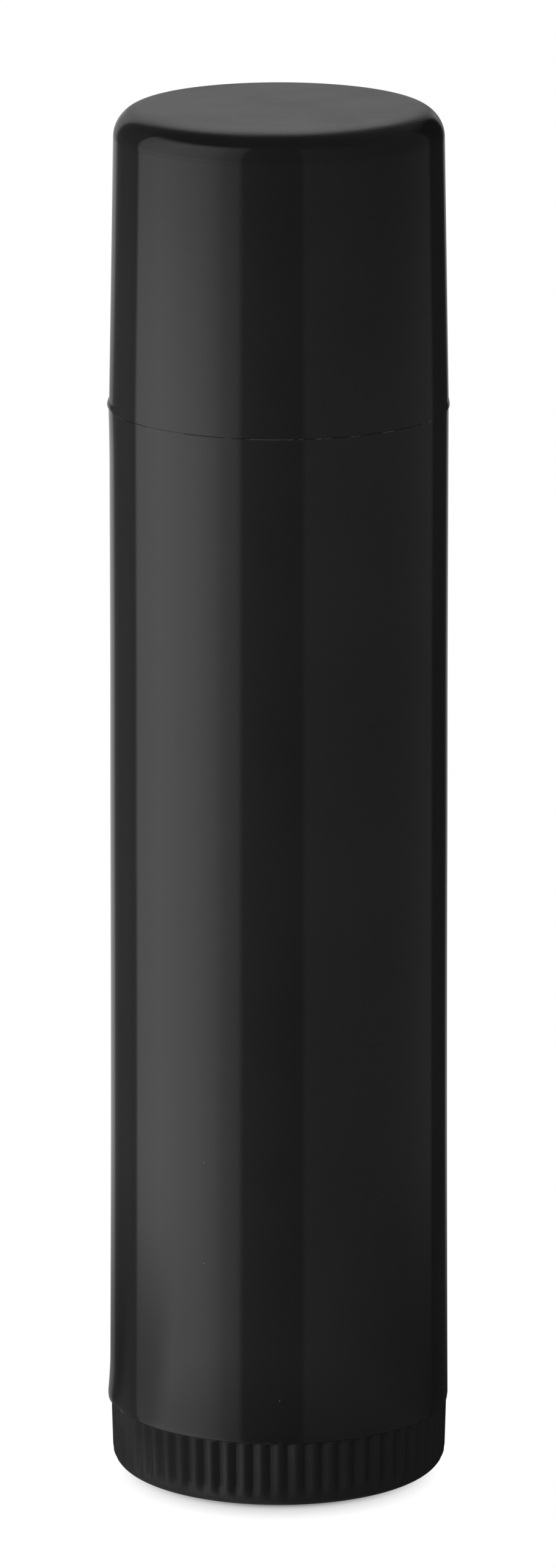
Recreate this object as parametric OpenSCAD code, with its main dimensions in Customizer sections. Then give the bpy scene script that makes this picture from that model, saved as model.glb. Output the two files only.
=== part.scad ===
// Lip balm stick: a pull-off cap over a twist-up barrel. The ribbed wheel at the foot turns
// a screw, and the screw lifts the carrier cup and the balm that is cast into it.
// Millimetres, +Z up. The origin is the middle of the foot that the stick stands on.

/* [Barrel] */
// Outside diameter of the barrel along its straight stretch
barrel_d = 16; // [15.6:0.1:18]
// Length of the barrel from its lower lip to the shoulder under the cap
barrel_h = 48.6; // [44:0.1:56]
// How far the wall has flared out on each side where it reaches the lower lip
foot_flare = 0.11; // [0.02:0.01:0.3]
// Height over which the barrel flares out
flare_h = 30; // [15:0.5:36]
// How far the rolled lower lip stands out of the flared wall
foot_lip_out = 0.06; // [0.02:0.01:0.15]
// Radius of the rolled lower lip
foot_lip_r = 0.32; // [0.15:0.01:0.5]
// Wall between the barrel's outside and the bore that the carrier and the balm slide in
barrel_wall = 1.8; // [1.6:0.05:2.2]
// Rounding of the edge of the shoulder under the cap
shoulder_r = 0.16; // [0.05:0.01:0.3]

/* [Neck] */
// Wall of the neck that the cap slips over
neck_wall = 0.8; // [0.6:0.05:0.9]
// Height of the neck above the shoulder
neck_h = 10.6; // [8:0.1:11.5]
// Rounding of the neck's rim
neck_rim_r = 0.3; // [0.1:0.05:0.35]
// How far the bead that holds the cap stands out of the neck
neck_bead_out = 0.12; // [0.05:0.01:0.2]
// Height of that bead
neck_bead_h = 0.9; // [0.5:0.1:1.5]
// Height of the bead's middle above the shoulder
neck_bead_z = 2.6; // [1.5:0.1:5]

/* [Guide ribs] */
// Number of ribs in the bore that keep the carrier from turning
guide_count = 4; // [2:1:6]
// Width of a guide rib
guide_w = 0.9; // [0.5:0.1:1.2]
// How far a guide rib stands into the bore
guide_t = 0.4; // [0.2:0.05:0.6]
// Distance from the top of the guide ribs to the neck's rim
guide_top_gap = 0.9; // [0.4:0.1:3]

/* [Cap] */
// Height of the cap
cap_h = 14.25; // [13.8:0.05:18]
// How far the cap's wall sits inside the barrel's at the mouth
cap_inset = 0.02; // [0:0.01:0.1]
// How much the cap's wall draws in on each side from mouth to top
cap_draft = 0.23; // [0.05:0.01:0.3]
// How far the bead round the mouth stands out of the wall
cap_bead_out = 0.11; // [0.03:0.01:0.2]
// Height of the bead's widest ring above the mouth
cap_bead_z = 0.22; // [0.1:0.01:0.4]
// Height over which the bead runs out into the wall
cap_bead_h = 0.8; // [0.5:0.05:1.5]
// Rounding of the top edge
cap_round_r = 1.45; // [0.8:0.05:2]
// Depth of the shallow dish in the top
cap_dish = 0.12; // [0.03:0.01:0.3]
// Thickness of the cap's top
cap_top_t = 1.15; // [0.8:0.05:1.6]
// Rounding inside the cap's top corner
cap_inner_r = 0.8; // [0.3:0.05:1.2]
// Bevel inside the mouth
cap_mouth_bevel = 0.3; // [0.1:0.05:0.4]
// Diameter of the stiffening ring under the cap's top
cap_ring_d = 9; // [6:0.1:10]
// Wall of that ring
cap_ring_w = 0.6; // [0.4:0.05:1]
// How far that ring stands down
cap_ring_h = 0.5; // [0.2:0.05:0.6]

/* [Thumb wheel] */
// Height of the wheel that shows under the barrel
wheel_h = 3.22; // [2.6:0.01:6]
// How far the wheel's ribs sit inside the barrel's flared wall
wheel_inset = 0.06; // [0.02:0.01:0.3]
// How much the wheel draws in on each side towards its foot
wheel_draft = 0.065; // [0.02:0.005:0.2]
// Rounding of the edge at the foot
wheel_round_r = 0.92; // [0.4:0.02:1.2]
// Number of finger ribs round the wheel
rib_count = 60; // [48:1:72]
// Radius of the rounded crest of a finger rib
rib_round_r = 0.72; // [0.6:0.01:1.2]
// Diameter of the recess under the foot
recess_d = 10.4; // [8:0.1:11]
// Depth of that recess
recess_depth = 0.35; // [0.1:0.05:0.6]
// Diameter of the dimple in the middle of the recess, where the mould was filled
dimple_d = 2; // [1:0.1:3]
// Depth of the dimple
dimple_depth = 0.2; // [0.1:0.05:0.4]
// Thickness of the wheel's floor above the recess
wheel_floor_t = 1.35; // [1:0.05:1.8]

/* [Collar] */
// Wall left round the socket in the barrel that the wheel's collar turns in
socket_wall = 1.2; // [1:0.05:1.4]
// Height of the collar above the wheel
collar_h = 2.6; // [2:0.1:4]
// Wall of the collar
collar_wall = 1.5; // [1:0.1:2]
// Depth of the snap groove round the collar
snap_depth = 0.22; // [0.1:0.01:0.3]
// Height of the snap groove
snap_h = 1; // [0.6:0.1:1.2]
// Bevel on the collar's top edge
collar_bevel = 0.3; // [0.1:0.05:0.5]

/* [Screw] */
// Diameter of the screw's core
core_d = 3.4; // [3:0.1:3.8]
// How far the thread stands out of the core
thread_out = 0.85; // [0.6:0.05:1]
// Rise of the thread for each turn
pitch = 3; // [2.4:0.1:4]
// Width of the thread at its root
thread_root_w = 1.3; // [1:0.05:1.4]
// Width of the thread at its crest
thread_crest_w = 0.7; // [0.4:0.05:0.8]
// Distance from the tip of the screw to the neck's rim
screw_tip_gap = 5.5; // [4:0.1:9]
// Bevel on the screw's tip
screw_tip_bevel = 0.5; // [0.2:0.05:0.9]
// Distance from the screw's tip down to the end of the thread
thread_end_gap = 1; // [0.7:0.1:2]

/* [Carrier cup] */
// Height of the cup
cup_h = 7; // [6:0.1:9]
// Wall of the cup
cup_wall = 0.8; // [0.5:0.05:1]
// Thickness of the cup's floor
cup_floor_t = 1; // [0.7:0.05:1.5]
// How far the two wiping bands stand out of the cup
band_out = 0.12; // [0.05:0.01:0.2]
// Height of a wiping band
band_h = 0.9; // [0.5:0.1:1.5]
// How far the hub reaches past the lugs, below and above
hub_over = 0.15; // [0.05:0.05:0.5]
// Wall of the hub
hub_wall = 0.8; // [0.6:0.05:1]
// Number of fins that key the balm in the cup
fin_count = 4; // [2:1:6]
// Thickness of a fin
fin_t = 0.5; // [0.3:0.05:0.8]
// Height of a fin above the cup's floor
fin_h = 3; // [2:0.1:4]
// Width of the slots that let the hub spring over the screw
slot_w = 0.8; // [0.4:0.1:1.2]
// Angle that each lug covers round the screw
lug_angle = 60; // [40:20:80]

/* [Balm] */
// How far the middle of the balm stands above the neck's rim
balm_proud = 1.2; // [0.4:0.1:1.3]
// Height of the balm's dome
dome_h = 1.5; // [0.8:0.1:1.8]

/* [Clearances] */
// Gap on each side between the bead on the neck and the cap
cap_fit = 0.05; // [0.03:0.01:0.1]
// Gap between the cap's mouth and the barrel's shoulder
cap_seat_gap = 0.04; // [0.02:0.01:0.1]
// Gap on each side between the collar and its socket
turn_fit = 0.08; // [0.04:0.01:0.15]
// Gap between the wheel's top and the barrel's lower lip
wheel_gap = 0.09; // [0.04:0.01:0.3]
// Gap on each side between the snap bead and its groove
snap_fit = 0.1; // [0.05:0.01:0.12]
// Gap on each side between the carrier's wiping bands and the bore
slide_fit = 0.06; // [0.03:0.01:0.12]
// Gap on each side between the balm and the bore
balm_fit = 0.1; // [0.05:0.01:0.2]
// Gap round the guide ribs in the carrier and the balm
guide_fit = 0.12; // [0.06:0.01:0.2]
// Gap on each side between the screw's crest and what it passes through
screw_fit = 0.2; // [0.12:0.01:0.3]
// Gap between each lug and the flanks and core of the screw
lug_fit = 0.22; // [0.14:0.01:0.28]
// Gap between the carrier, wound down, and the collar
rest_gap = 0.4; // [0.2:0.05:1]
// Gap between the top of the collar and the end of its socket
socket_gap = 0.3; // [0.1:0.05:0.6]
// Gap between the balm and the cup that it is cast in
cast_gap = 0.02; // [0.01:0.01:0.05]

/* [Hidden] */
$fn = 96;

overrun = 0.6;
moulding_black = [0.055, 0.055, 0.058];
wax_cream = [0.94, 0.89, 0.74];

// Points on an outline's round stretches, and on the flare of the barrel and of the cap's bead
arc_steps = 8;
flare_steps = 10;
// Angle, past level, at which the rolled lip runs into the barrel's wall
lip_end_angle = 35;
// Steps of the thread for each turn
thread_steps = 18;
// Share of a snap bead's or wiping band's height that is level, with a slope on each side
bead_level_share = 0.4;

// Heights on the axis, from the foot up
barrel_z = wheel_h + wheel_gap;
shoulder_z = barrel_z + barrel_h;
rim_z = shoulder_z + neck_h;
cap_z = shoulder_z + cap_seat_gap;
cap_top_z = cap_z + cap_h;
collar_top_z = wheel_h + collar_h;
socket_top_z = collar_top_z + socket_gap;
carrier_z = collar_top_z + rest_gap;
guide_z = max(socket_top_z, carrier_z);
screw_tip_z = rim_z - screw_tip_gap;

// Radii
barrel_r = barrel_d / 2;
foot_r = barrel_r + foot_flare;
foot_lip_out_r = foot_r + foot_lip_out;
bore_r = barrel_r - barrel_wall;
neck_r = bore_r + neck_wall;
neck_bead_r = neck_r + neck_bead_out;
cap_bore_r = neck_bead_r + cap_fit;
cap_mouth_r = barrel_r - cap_inset;
cap_top_r = cap_mouth_r - cap_draft;
wheel_r = foot_r - wheel_inset;
wheel_foot_r = wheel_r - wheel_draft;
socket_r = barrel_r - socket_wall;
collar_r = socket_r - turn_fit;
core_r = core_d / 2;
crest_r = core_r + thread_out;
hub_bore_r = crest_r + screw_fit;
hub_r = hub_bore_r + hub_wall;
hub_hole_r = hub_r + cast_gap;
cup_band_r = bore_r - slide_fit;
cup_r = cup_band_r - band_out;
cup_inner_r = cup_r - cup_wall;
balm_r = bore_r - balm_fit;

// The thread starts on the collar's top, and narrows by this share of its depth
thread_z = collar_top_z + thread_root_w / 2;
flank_share = (thread_root_w - thread_crest_w) / thread_out;

// Two lugs, half a turn apart, lie in the groove midway between two turns of the thread
lug_tip_r = core_r + lug_fit;
lug_base_r = hub_bore_r + hub_wall / 2;
lug_tip_w = pitch - thread_root_w + flank_share * lug_fit - 2 * lug_fit;
lug_base_w = lug_tip_w + flank_share * (lug_base_r - lug_tip_r);
lug_z = carrier_z + cup_floor_t + hub_over + lug_base_w / 2;
lug_start_angle = 360 * ((lug_z - thread_z) / pitch - 1 / 2);
lug_rise = pitch * lug_angle / 360;
hub_h = cup_floor_t + lug_base_w + lug_rise + pitch / 2 + 2 * hub_over;

// Points on a round stretch of an outline, from angle a to angle b
function arc(centre_r, centre_z, radius, a, b) =
    [for (i = [0:arc_steps]) let (t = a + (b - a) * i / arc_steps)
        [centre_r + radius * cos(t), centre_z + radius * sin(t)]];

// Outline of a ring that stands out from radius r_wall to r_bead, round the height z_mid
function bead_outline(r_wall, r_bead, z_mid, height) =
    [[r_wall, z_mid - height / 2],
     [r_bead, z_mid - height / 2 * bead_level_share],
     [r_bead, z_mid + height / 2 * bead_level_share],
     [r_wall, z_mid + height / 2]];

// Closed helical ridge of trapezoid section from radius r_in to r_out, where its width goes
// from w_in to w_out. It starts at angle a and height z and climbs through the given turn.
module helix(r_in, r_out, w_in, w_out, a, z, turn) {
    steps = max(2, round(turn / 360 * thread_steps));
    section = [[r_in, -w_in / 2], [r_out, -w_out / 2], [r_out, w_out / 2], [r_in, w_in / 2]];
    points = [for (i = [0:steps], p = section)
        let (t = a + turn * i / steps)
        [p[0] * cos(t), p[0] * sin(t), z + pitch * turn / 360 * i / steps + p[1]]];
    sides = [for (i = [0:steps - 1], k = [0:3])
        let (m = 4 * i + k, n = 4 * i + (k + 1) % 4)
        each [[m, n + 4, m + 4], [m, n, n + 4]]];
    last = 4 * steps;
    ends = [[0, 2, 1], [0, 3, 2], [last, last + 1, last + 2], [last, last + 2, last + 3]];
    polyhedron(points, concat(sides, ends));
}

// Slot round one guide rib, from the axis outwards, for what slides past the ribs
module guide_slots(z, height) {
    for (i = [0:guide_count - 1])
        rotate(i * 360 / guide_count)
            translate([bore_r - guide_t - guide_fit, -guide_w / 2 - guide_fit, z])
                cube([guide_t + guide_fit + overrun, guide_w + 2 * guide_fit, height]);
}

// The barrel: a waisted tube with a rolled lip below, a shoulder, and a neck for the cap
module barrel() {
    lip_z = barrel_z + foot_lip_r;
    outline = concat(
        [[0, barrel_z]],
        arc(foot_lip_out_r - foot_lip_r, lip_z, foot_lip_r, -90, lip_end_angle),
        [for (i = [1:flare_steps]) let (t = i / flare_steps)
            [barrel_r + foot_flare * pow(1 - t, 2), lip_z + foot_lip_r + (flare_h - foot_lip_r) * t]],
        arc(barrel_r - shoulder_r, shoulder_z - shoulder_r, shoulder_r, 0, 90),
        [[neck_r, shoulder_z]],
        bead_outline(neck_r, neck_bead_r, shoulder_z + neck_bead_z, neck_bead_h),
        arc(neck_r - neck_rim_r, rim_z - neck_rim_r, neck_rim_r, 0, 90),
        [[0, rim_z]]);
    snap_z = wheel_h + collar_h / 2;
    color(moulding_black) {
        difference() {
            rotate_extrude() polygon(outline);
            translate([0, 0, barrel_z - overrun])
                cylinder(r = bore_r, h = rim_z - barrel_z + 2 * overrun);
            difference() {
                translate([0, 0, barrel_z - overrun])
                    cylinder(r = socket_r, h = socket_top_z - barrel_z + overrun);
                rotate_extrude()
                    polygon(concat(
                        [[socket_r + overrun, snap_z - snap_h / 2]],
                        bead_outline(socket_r, socket_r - snap_depth + snap_fit, snap_z,
                            snap_h - 2 * snap_fit),
                        [[socket_r + overrun, snap_z + snap_h / 2]]));
            }
        }
        for (i = [0:guide_count - 1])
            rotate(i * 360 / guide_count)
                translate([bore_r - guide_t, -guide_w / 2, guide_z])
                    cube([guide_t + neck_wall / 2, guide_w, rim_z - guide_top_gap - guide_z]);
    }
}

// The cap: a drafted cup with a bead round its mouth, a rounded top edge and a dished top
module cap() {
    wall_top_z = cap_top_z - cap_round_r;
    draft_h = wall_top_z - cap_z;
    dish_r = cap_top_r - cap_round_r;
    ring_r = cap_ring_d / 2;
    ceiling_z = cap_top_z - cap_dish - cap_top_t;
    outer = concat(
        [[cap_bore_r + cap_mouth_bevel, cap_z], [cap_mouth_r, cap_z],
         [cap_mouth_r + cap_bead_out, cap_z + cap_bead_z]],
        [for (i = [1:flare_steps]) let (t = i / flare_steps, z = cap_z + cap_bead_z + cap_bead_h * t)
            [cap_mouth_r - cap_draft * (z - cap_z) / draft_h + cap_bead_out * pow(1 - t, 3), z]],
        arc(cap_top_r - cap_round_r, wall_top_z, cap_round_r, 0, 90),
        [for (i = [1:flare_steps]) let (t = i / flare_steps)
            [dish_r * (1 - t), cap_top_z - cap_dish * (1 - pow(1 - t, 2))]]);
    inner = concat(
        [[0, ceiling_z],
         [ring_r - cap_ring_w, ceiling_z], [ring_r - cap_ring_w, ceiling_z - cap_ring_h],
         [ring_r, ceiling_z - cap_ring_h], [ring_r, ceiling_z]],
        arc(cap_bore_r - cap_inner_r, ceiling_z - cap_inner_r, cap_inner_r, 90, 0),
        [[cap_bore_r, cap_z + cap_mouth_bevel]]);
    color(moulding_black)
        rotate_extrude() polygon(concat(outer, inner));
}

// The thumb wheel and its screw, one moulding
module thumb_wheel() {
    floor_z = recess_depth + wheel_floor_t;
    snap_z = wheel_h + collar_h / 2;
    skirt = concat(
        [[0, 0]],
        arc(wheel_foot_r - wheel_round_r, wheel_round_r, wheel_round_r, -90, 0),
        [[wheel_r, wheel_h], [0, wheel_h]]);
    collar = concat(
        [[0, floor_z], [collar_r, floor_z]],
        bead_outline(collar_r, collar_r - snap_depth, snap_z, snap_h),
        [[collar_r, collar_top_z - collar_bevel], [collar_r - collar_bevel, collar_top_z],
         [0, collar_top_z]]);
    spindle = [[0, floor_z / 2], [core_r, floor_z / 2], [core_r, screw_tip_z - screw_tip_bevel],
        [core_r - screw_tip_bevel, screw_tip_z], [0, screw_tip_z]];
    thread_top_z = screw_tip_z - thread_end_gap - thread_root_w / 2;
    thread_turn = 360 * (thread_top_z - thread_z) / pitch;
    sunk = thread_out / 4;
    color(moulding_black) {
        intersection() {
            rotate_extrude() polygon(skirt);
            linear_extrude(height = wheel_h)
                union() {
                    circle(r = wheel_r - rib_round_r);
                    for (i = [0:rib_count - 1])
                        rotate(i * 360 / rib_count)
                            translate([wheel_r - rib_round_r, 0]) circle(r = rib_round_r);
                }
            difference() {
                cylinder(r = wheel_r + overrun, h = wheel_h);
                translate([0, 0, -overrun]) cylinder(d = recess_d, h = recess_depth + overrun);
                translate([0, 0, -overrun])
                    cylinder(d = dimple_d, h = recess_depth + dimple_depth + overrun);
                translate([0, 0, floor_z])
                    cylinder(r = collar_r - collar_wall, h = wheel_h);
            }
        }
        difference() {
            rotate_extrude() polygon(collar);
            translate([0, 0, floor_z]) cylinder(r = collar_r - collar_wall, h = collar_top_z);
        }
        rotate_extrude() polygon(spindle);
        helix(core_r - sunk, crest_r, thread_root_w + flank_share * sunk, thread_crest_w,
            0, thread_z, thread_turn);
    }
}

// The carrier cup: it holds the balm, slides past the guide ribs and rides up the screw
module carrier_cup() {
    band_z = [band_h / 2, cup_h - band_h / 2];
    outline = concat(
        [[0, carrier_z]],
        [for (z = band_z) each bead_outline(cup_r, cup_band_r, carrier_z + z, band_h)],
        [[0, carrier_z + cup_h]]);
    color(moulding_black) {
        difference() {
            union() {
                difference() {
                    rotate_extrude() polygon(outline);
                    translate([0, 0, carrier_z + cup_floor_t])
                        cylinder(r = cup_inner_r, h = cup_h);
                }
                translate([0, 0, carrier_z]) cylinder(r = hub_r, h = hub_h);
                for (i = [0:fin_count - 1])
                    rotate((i + 1 / 2) * 360 / fin_count)
                        translate([hub_r - hub_wall / 2, -fin_t / 2, carrier_z + cup_floor_t / 2])
                            cube([cup_inner_r + cup_wall / 2 - hub_r + hub_wall / 2, fin_t,
                                fin_h + cup_floor_t / 2]);
            }
            translate([0, 0, carrier_z - overrun])
                cylinder(r = hub_bore_r, h = cup_h + 2 * overrun);
            rotate(lug_start_angle + lug_angle / 2 + 90)
                translate([-hub_hole_r, -slot_w / 2, carrier_z + cup_floor_t + hub_over])
                    cube([2 * hub_hole_r, slot_w, hub_h]);
            guide_slots(carrier_z - overrun, cup_h + 2 * overrun);
        }
        for (i = [0, 1])
            helix(lug_tip_r, lug_base_r, lug_tip_w, lug_base_w,
                lug_start_angle + 180 * i, lug_z + pitch / 2 * i, lug_angle);
    }
}

// The balm: cast into the cup round the screw, grooved by the guide ribs, with a domed top
module balm() {
    floor_z = carrier_z + cup_floor_t + cast_gap;
    cup_rim_z = carrier_z + cup_h + cast_gap;
    top_z = rim_z + balm_proud;
    dome_z = top_z - dome_h;
    dome_r = (balm_r * balm_r + dome_h * dome_h) / (2 * dome_h);
    dome_angle = asin(balm_r / dome_r);
    hole_r = crest_r + screw_fit;
    outline = concat(
        [[0, floor_z], [cup_inner_r - cast_gap, floor_z], [cup_inner_r - cast_gap, cup_rim_z],
         [balm_r, cup_rim_z]],
        arc(0, top_z - dome_r, dome_r, 90 - dome_angle, 90));
    color(wax_cream)
        difference() {
            rotate_extrude() polygon(outline);
            translate([0, 0, floor_z - overrun])
                cylinder(r = hub_hole_r, h = hub_h - cup_floor_t + overrun);
            translate([0, 0, floor_z - overrun])
                cylinder(r = hole_r, h = screw_tip_z + screw_fit - floor_z + overrun);
            for (i = [0:fin_count - 1])
                rotate((i + 1 / 2) * 360 / fin_count)
                    translate([hub_r - overrun, -fin_t / 2 - cast_gap, floor_z - overrun])
                        cube([cup_r - hub_r + overrun, fin_t + 2 * cast_gap, fin_h + overrun]);
            guide_slots(floor_z - overrun, top_z - floor_z + 2 * overrun);
        }
}

barrel();
cap();
thumb_wheel();
carrier_cup();
balm();
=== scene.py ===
import math

import bmesh
import bpy
from bpy.props import FloatProperty, FloatVectorProperty, IntProperty, PointerProperty
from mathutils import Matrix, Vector


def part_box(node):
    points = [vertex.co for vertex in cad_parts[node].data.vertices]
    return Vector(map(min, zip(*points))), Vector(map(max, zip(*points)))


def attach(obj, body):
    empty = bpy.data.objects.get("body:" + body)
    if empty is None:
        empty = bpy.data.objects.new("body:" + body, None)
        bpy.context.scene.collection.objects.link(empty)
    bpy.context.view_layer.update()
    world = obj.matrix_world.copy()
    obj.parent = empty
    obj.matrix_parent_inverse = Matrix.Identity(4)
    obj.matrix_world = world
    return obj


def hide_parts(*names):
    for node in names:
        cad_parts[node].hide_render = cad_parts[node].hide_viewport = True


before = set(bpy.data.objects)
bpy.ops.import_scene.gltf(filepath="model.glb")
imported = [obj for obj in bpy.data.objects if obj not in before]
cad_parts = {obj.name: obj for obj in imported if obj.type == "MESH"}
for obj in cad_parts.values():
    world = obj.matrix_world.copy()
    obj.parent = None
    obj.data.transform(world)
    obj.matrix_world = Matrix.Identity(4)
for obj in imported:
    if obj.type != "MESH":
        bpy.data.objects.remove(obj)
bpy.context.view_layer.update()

bl_info = {
    "name": "Lip Balm Stick",
    "version": (1, 0, 0),
    "blender": (4, 5, 0),
    "location": "3D View > Sidebar > Lip Balm",
    "description": "Models a twist-up lip balm stick with its cap, barrel, wheel, carrier and balm",
    "category": "Add Mesh",
}

MM = 0.001
MICRON = 1e-6
BARREL_LOW, BARREL_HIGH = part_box("barrel")
CAP_LOW, CAP_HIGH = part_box("cap")
BALM_LOW, BALM_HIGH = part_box("balm")
WHEEL_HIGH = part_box("thumb_wheel")[1]
CUP_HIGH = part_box("carrier_cup")[1]

# Segments round a turned piece, round the screw, across one finger rib, and along a rounded
# stretch of an outline
SIDES = 180
SCREW_SIDES = 96
RIB_COLUMNS = 12
ARC_STEPS = 10
# Number of guide ribs in the bore, and half the angle that one takes up, in degrees
GUIDES = 4
GUIDE_HALF_ANGLE = 4
# Distance from a tangent point at which a turned piece gets an extra ring, so that its long
# straight walls keep their own shading
HOLD = 0.06 * MM
# Shares of a wall's radius beyond which the flash at a parting line stands out, half from each
FLASH_REACHES = (0.93, 0.97)
# Vertices closer than this are one vertex
WELD = 0.8e-6


def length(name, description, default):
    """A length property in metres, shown in the scene's units."""
    return FloatProperty(name=name, description=description, default=default, min=0,
                         unit="LENGTH", subtype="DISTANCE", precision=5)


def share(name, description, default, top=1.0):
    """A property that is a share of something, or a shader's value."""
    return FloatProperty(name=name, description=description, default=default, min=0, max=top,
                         subtype="FACTOR", precision=3)


def colour(name, description, default):
    """A colour property in linear light."""
    return FloatVectorProperty(name=name, description=description, default=default, size=3,
                               min=0, max=1, subtype="COLOR")


class BarrelSizes(bpy.types.PropertyGroup):
    """Sizes of the barrel"""
    foot_z: length("Foot Height", "Height of the barrel's lower lip", BARREL_LOW.z)
    rim_z: length("Rim Height", "Height of the neck's rim", BARREL_HIGH.z)
    neck_height: length("Neck Height", "Height of the neck above the shoulder", 10.57 * MM)
    radius: length("Radius", "Outside radius of the straight stretch", 8.0 * MM)
    flare: length("Flare", "How far the wall has flared out at the lower lip", 0.11 * MM)
    flare_height: length("Flare Height", "Height over which the wall flares out", 30 * MM)
    belly: length("Belly", "How much wider the wall is below its middle", 0.025 * MM)
    belly_top: length("Belly Top", "Height at which it starts to widen", 42 * MM)
    belly_run: length("Belly Run", "Height over which it widens", 12 * MM)
    lip_out: length("Lip", "How far the lip's flash stands out at the left", 0.075 * MM)
    lip_height: length("Lip Height", "Height over which that flash runs out", 1.9 * MM)
    top_out: length("Shoulder Flash", "How far the shoulder's flash stands out there", 0.04 * MM)
    top_height: length("Shoulder Flash Height", "Height over which it runs out", 3.0 * MM)
    lip_radius: length("Lip Radius", "Rounding of the lower lip", 0.03 * MM)
    shoulder_radius: length("Shoulder Rounding", "Rounding of the shoulder", 0.02 * MM)
    bore: length("Bore Radius", "Radius of the bore", 6.2 * MM)
    neck_wall: length("Neck Wall", "Wall of the neck", 0.8 * MM)
    neck_rounding: length("Rim Rounding", "Rounding of the neck's rim", 0.3 * MM)
    bead_out: length("Bead Height", "How far the neck's bead stands out", 0.12 * MM)
    bead_height: length("Bead Width", "Height of the neck's bead", 0.9 * MM)
    bead_z: length("Bead Place", "Height of the bead's middle above the shoulder", 2.6 * MM)
    socket: length("Socket Radius", "Radius of the socket for the collar", 6.8 * MM)
    socket_top: length("Socket Top", "Height of the socket's end", 6.12 * MM)
    snap_out: length("Snap Height", "How far the snap bead stands into the socket", 0.12 * MM)
    snap_height: length("Snap Width", "Height of the snap bead", 0.8 * MM)
    snap_z: length("Snap Place", "Height of its middle above the lower lip", 1.25 * MM)
    guide_out: length("Guide Depth", "How far a guide rib stands into the bore", 0.4 * MM)
    guide_gap: length("Guide Gap", "Distance from the guide ribs to the rim", 0.9 * MM)


class CapSizes(bpy.types.PropertyGroup):
    """Sizes of the cap"""
    mouth_z: length("Mouth Height", "Height of the cap's mouth", CAP_LOW.z)
    top_z: length("Top Height", "Height of the cap's top edge", CAP_HIGH.z)
    mouth_radius: length("Mouth Radius", "Outside radius at the mouth", 8.005 * MM)
    draft: length("Draft", "How much the wall draws in from mouth to top", 0.23 * MM)
    flash_left: length("Left Flash", "How far the mouth's flash stands out at the left", 0.09 * MM)
    flash_right: length("Right Flash", "How far it stands out at the right", 0.045 * MM)
    flash_height: length("Flash Height", "Height of the flash above the mouth", 0.32 * MM)
    rounding: length("Top Rounding", "Rounding of the top edge", 1.45 * MM)
    dish: length("Dish", "Depth of the shallow dish in the top", 0.03 * MM)
    satin: length("Satin Depth", "Depth below the top edge down to which it is satin", 0.45 * MM)
    top_wall: length("Top Wall", "Thickness of the top", 1.15 * MM)
    bore: length("Bore Radius", "Inside radius of the cap", 7.17 * MM)
    inner_rounding: length("Inner Rounding", "Rounding inside the top corner", 0.8 * MM)
    mouth_bevel: length("Mouth Bevel", "Bevel inside the mouth", 0.3 * MM)
    ring_radius: length("Ring Radius", "Radius of the stiffening ring inside", 4.5 * MM)
    ring_wall: length("Ring Wall", "Wall of the stiffening ring", 0.6 * MM)
    ring_height: length("Ring Height", "How far the stiffening ring stands down", 0.5 * MM)


class WheelSizes(bpy.types.PropertyGroup):
    """Sizes of the thumb wheel and its screw"""
    radius: length("Radius", "Radius over the ribs at the top", WHEEL_HIGH.x + 0.02 * MM)
    height: length("Height", "Height of the ribbed skirt", 3.305 * MM)
    draft: length("Draft", "How much the skirt draws in towards its foot", 0.065 * MM)
    rounding: length("Foot Rounding", "Rounding of the edge at the foot", 0.9 * MM)
    ribs: IntProperty(name="Ribs", description="Number of finger ribs", default=60, min=12)
    rib_depth: length("Rib Depth", "Depth of the valleys between the ribs", 0.2 * MM)
    rib_edge: share("Rib Sharpness", "How sharp the valleys are: 0 for a wave, 1 for a V", 0.5)
    rib_fade: length("Rib Fade", "Height over which the ribs run out at the foot", 0.9 * MM)
    rib_top: length("Rib Top Fade", "Height over which they run out under the barrel", 0.14 * MM)
    recess: length("Recess Radius", "Radius of the recess under the foot", 5.2 * MM)
    recess_depth: length("Recess Depth", "Depth of the recess under the foot", 0.35 * MM)
    dimple: length("Dimple Radius", "Radius of the dimple in the recess", 1.0 * MM)
    dimple_depth: length("Dimple Depth", "Depth of the dimple", 0.2 * MM)
    floor_wall: length("Floor", "Thickness of the floor above the recess", 1.35 * MM)
    collar: length("Collar Radius", "Radius of the collar", 6.72 * MM)
    collar_height: length("Collar Height", "Height of the collar above the skirt", 2.515 * MM)
    collar_wall: length("Collar Wall", "Wall of the collar", 1.5 * MM)
    groove: length("Groove Depth", "Depth of the snap groove round the collar", 0.22 * MM)
    groove_height: length("Groove Height", "Height of the snap groove", 1.0 * MM)
    core: length("Core Radius", "Radius of the screw's core", 1.7 * MM)
    tip_z: length("Tip Height", "Height of the screw's tip", WHEEL_HIGH.z)
    tip_bevel: length("Tip Bevel", "Bevel round the screw's tip", 0.5 * MM)
    thread_end: length("Thread End", "Distance from the thread's end to the tip", 1.0 * MM)
    thread_out: length("Thread Height", "How far the thread stands out", 0.85 * MM)
    pitch: length("Pitch", "Rise of the thread for each turn", 3.0 * MM)
    thread_root: length("Thread Root", "Width of the thread at its root", 1.3 * MM)
    thread_crest: length("Thread Crest", "Width of the thread at its crest", 0.7 * MM)


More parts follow.
